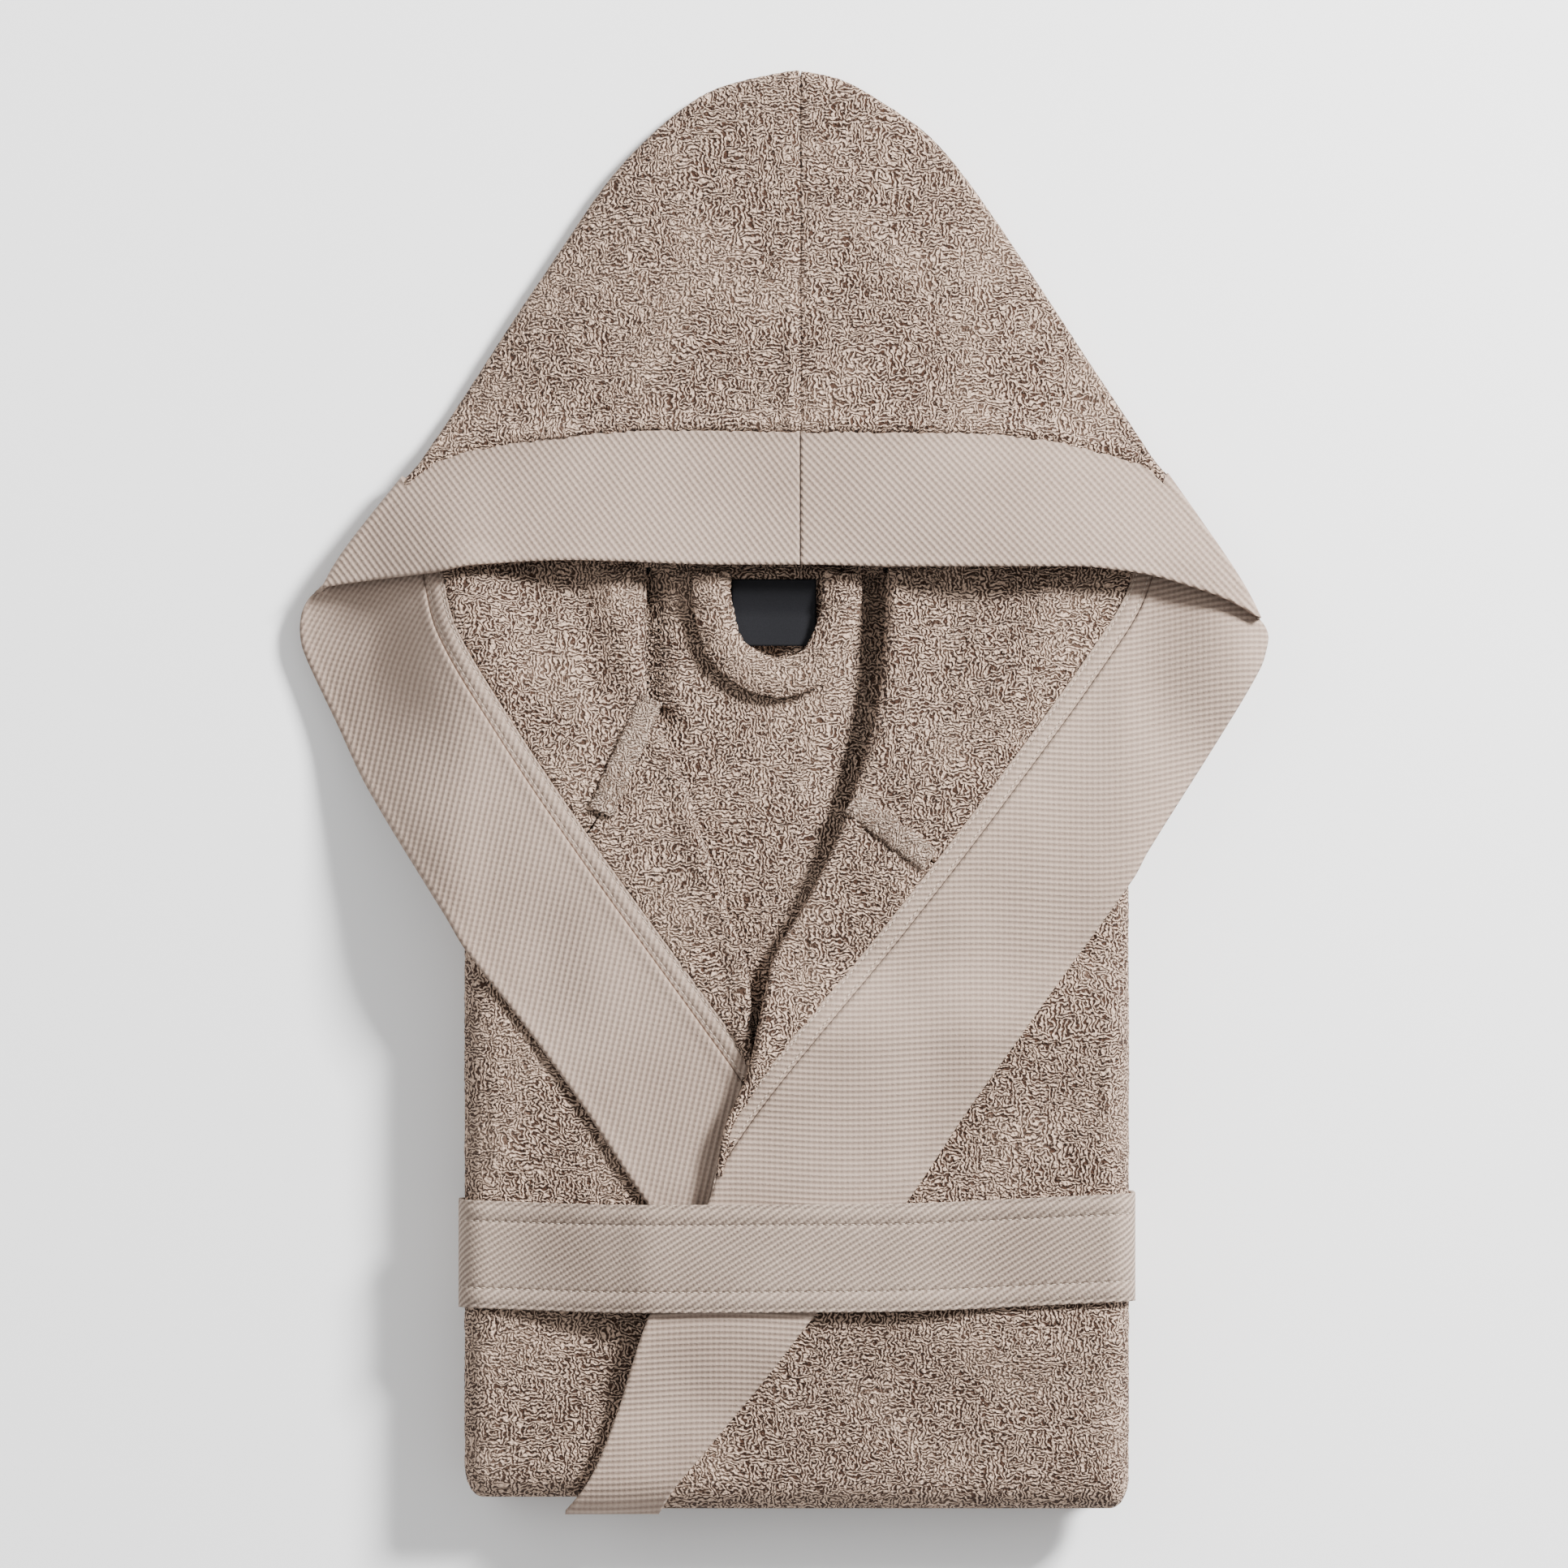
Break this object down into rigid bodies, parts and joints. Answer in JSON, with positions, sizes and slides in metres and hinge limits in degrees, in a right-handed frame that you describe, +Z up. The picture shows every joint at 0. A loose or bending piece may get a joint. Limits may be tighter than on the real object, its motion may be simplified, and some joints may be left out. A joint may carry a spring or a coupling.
{
  "type": "hooded bathrobe, folded",
  "caption": "Hooded terry bathrobe folded flat into a bundle, hood opened out, lapels turned back, ribbed band along the edges and a belt wound round it.",
  "frame": {"origin": "middle of the footprint, on the surface that the folded robe lies on", "axes": "+Z up, +Y towards the crown of the hood, +X to the right seen from above"},
  "size_m": [0.4822, 0.7146, 0.0628],
  "materials": {
    "terry": "looped cotton terry, matt",
    "ribbed_band": "diagonal ribbed cotton weave, matt",
    "belt_twill": "cotton twill, matt",
    "label_black": "black woven satin, bare"
  },
  "bodies": {
    "root": {"folded_layers": "terry", "back": "terry", "front_left": "terry", "front_right": "terry", "hood_left": "terry", "hood_right": "terry", "neck_seam_left": "terry", "neck_seam_right": "terry", "hanging_loop": "terry", "band_left": "ribbed_band", "band_right": "ribbed_band", "belt": "belt_twill", "label": "label_black"}
  },
  "joints": []
}
